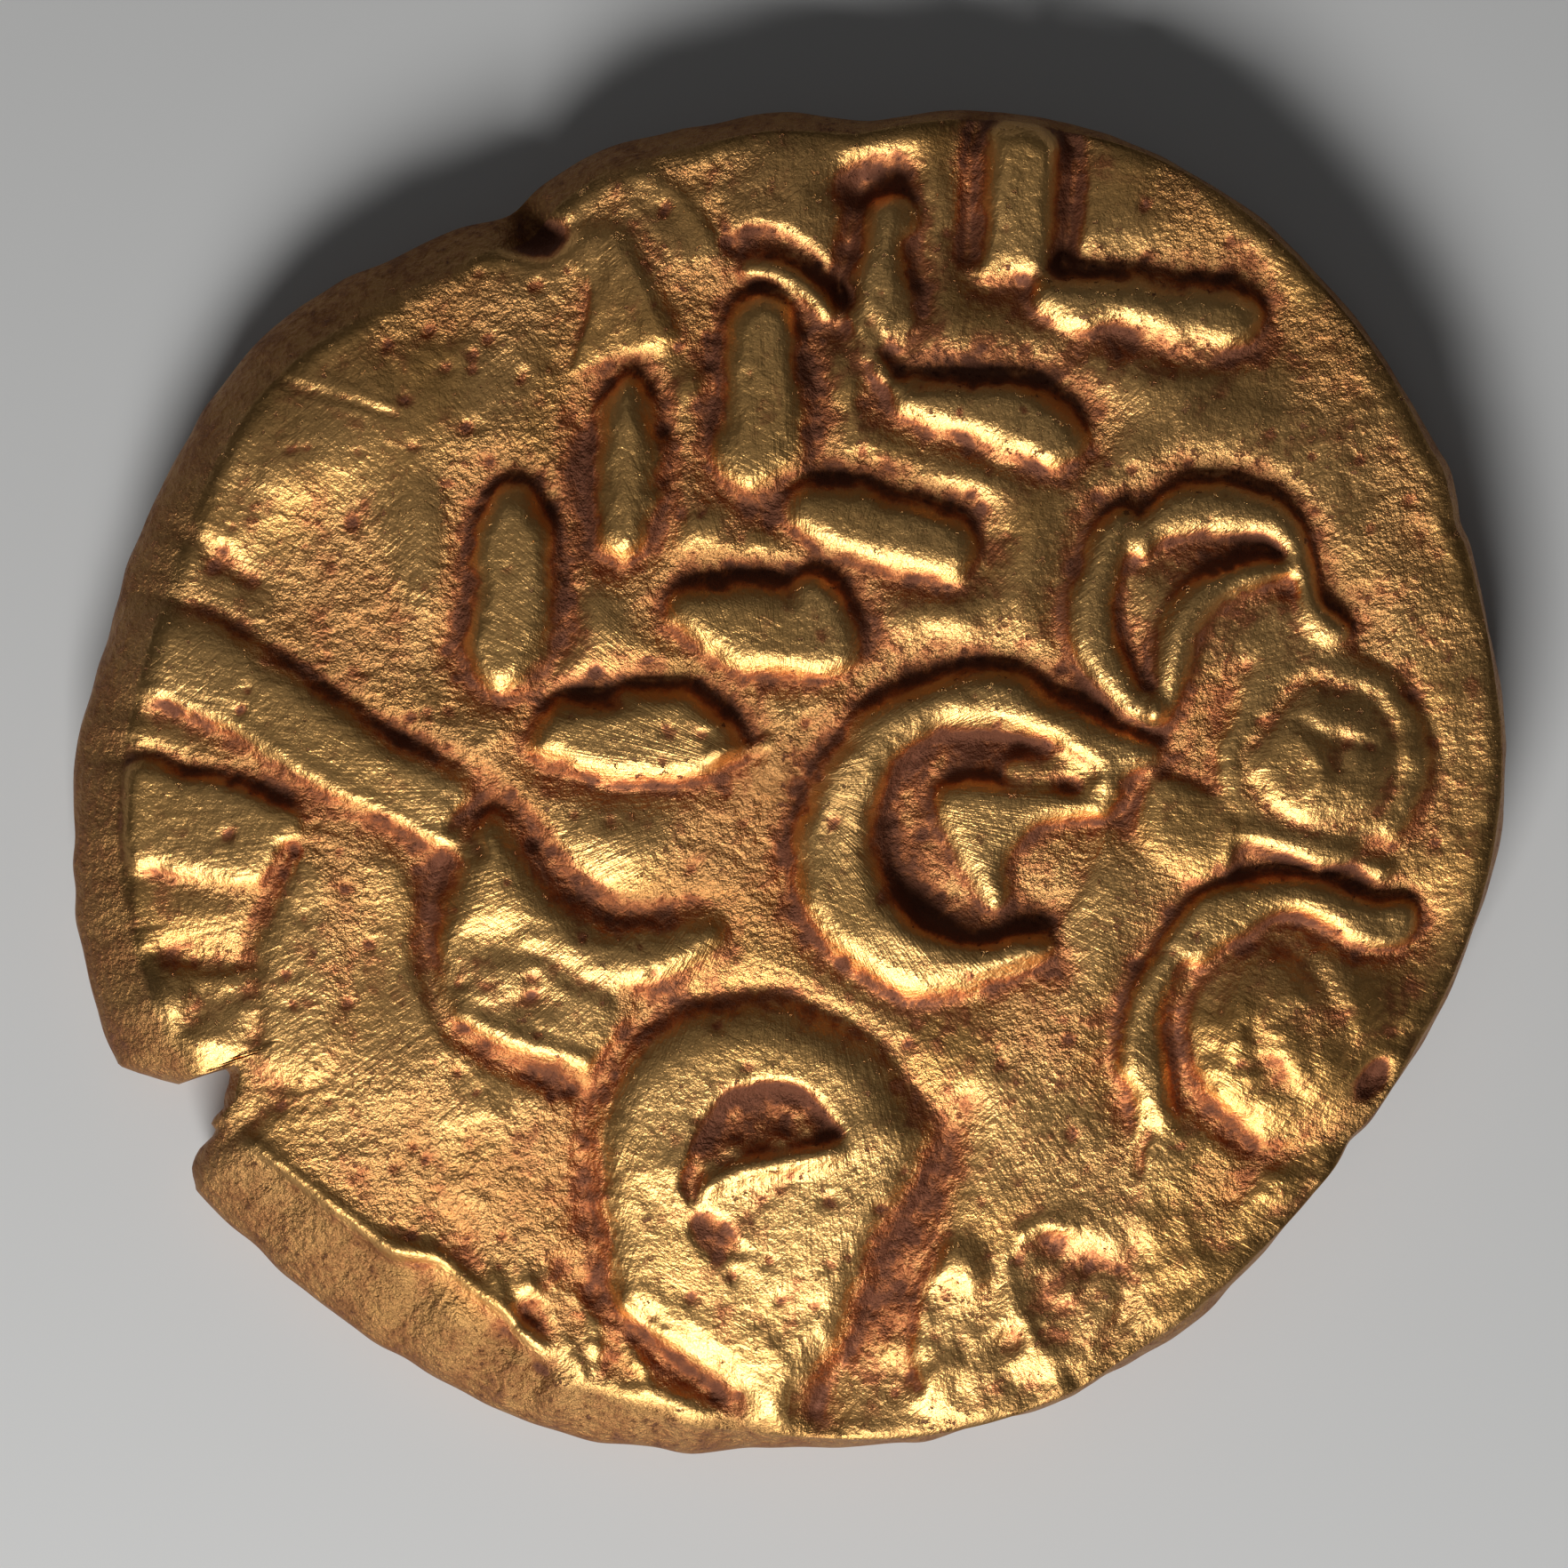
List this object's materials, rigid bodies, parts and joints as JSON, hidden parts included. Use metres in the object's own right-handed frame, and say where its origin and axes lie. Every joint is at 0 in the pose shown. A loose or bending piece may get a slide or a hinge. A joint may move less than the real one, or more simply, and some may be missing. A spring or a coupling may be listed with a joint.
{
  "type": "gold coin",
  "caption": "Ancient struck gold coin with an uneven round outline, a chipped edge, and an abstract raised wreath, crescents and pellet on a slightly domed face; lies flat.",
  "frame": {"origin": "middle of the outline, on the plane that the reverse rests on", "axes": "+Z out of the obverse, +X along the longest width as pictured, +Y up the pictured face"},
  "size_m": [0.0184, 0.0172, 0.0024],
  "materials": {
    "coin_gold": null
  },
  "bodies": {
    "root": {"coin": "coin_gold"}
  },
  "joints": []
}
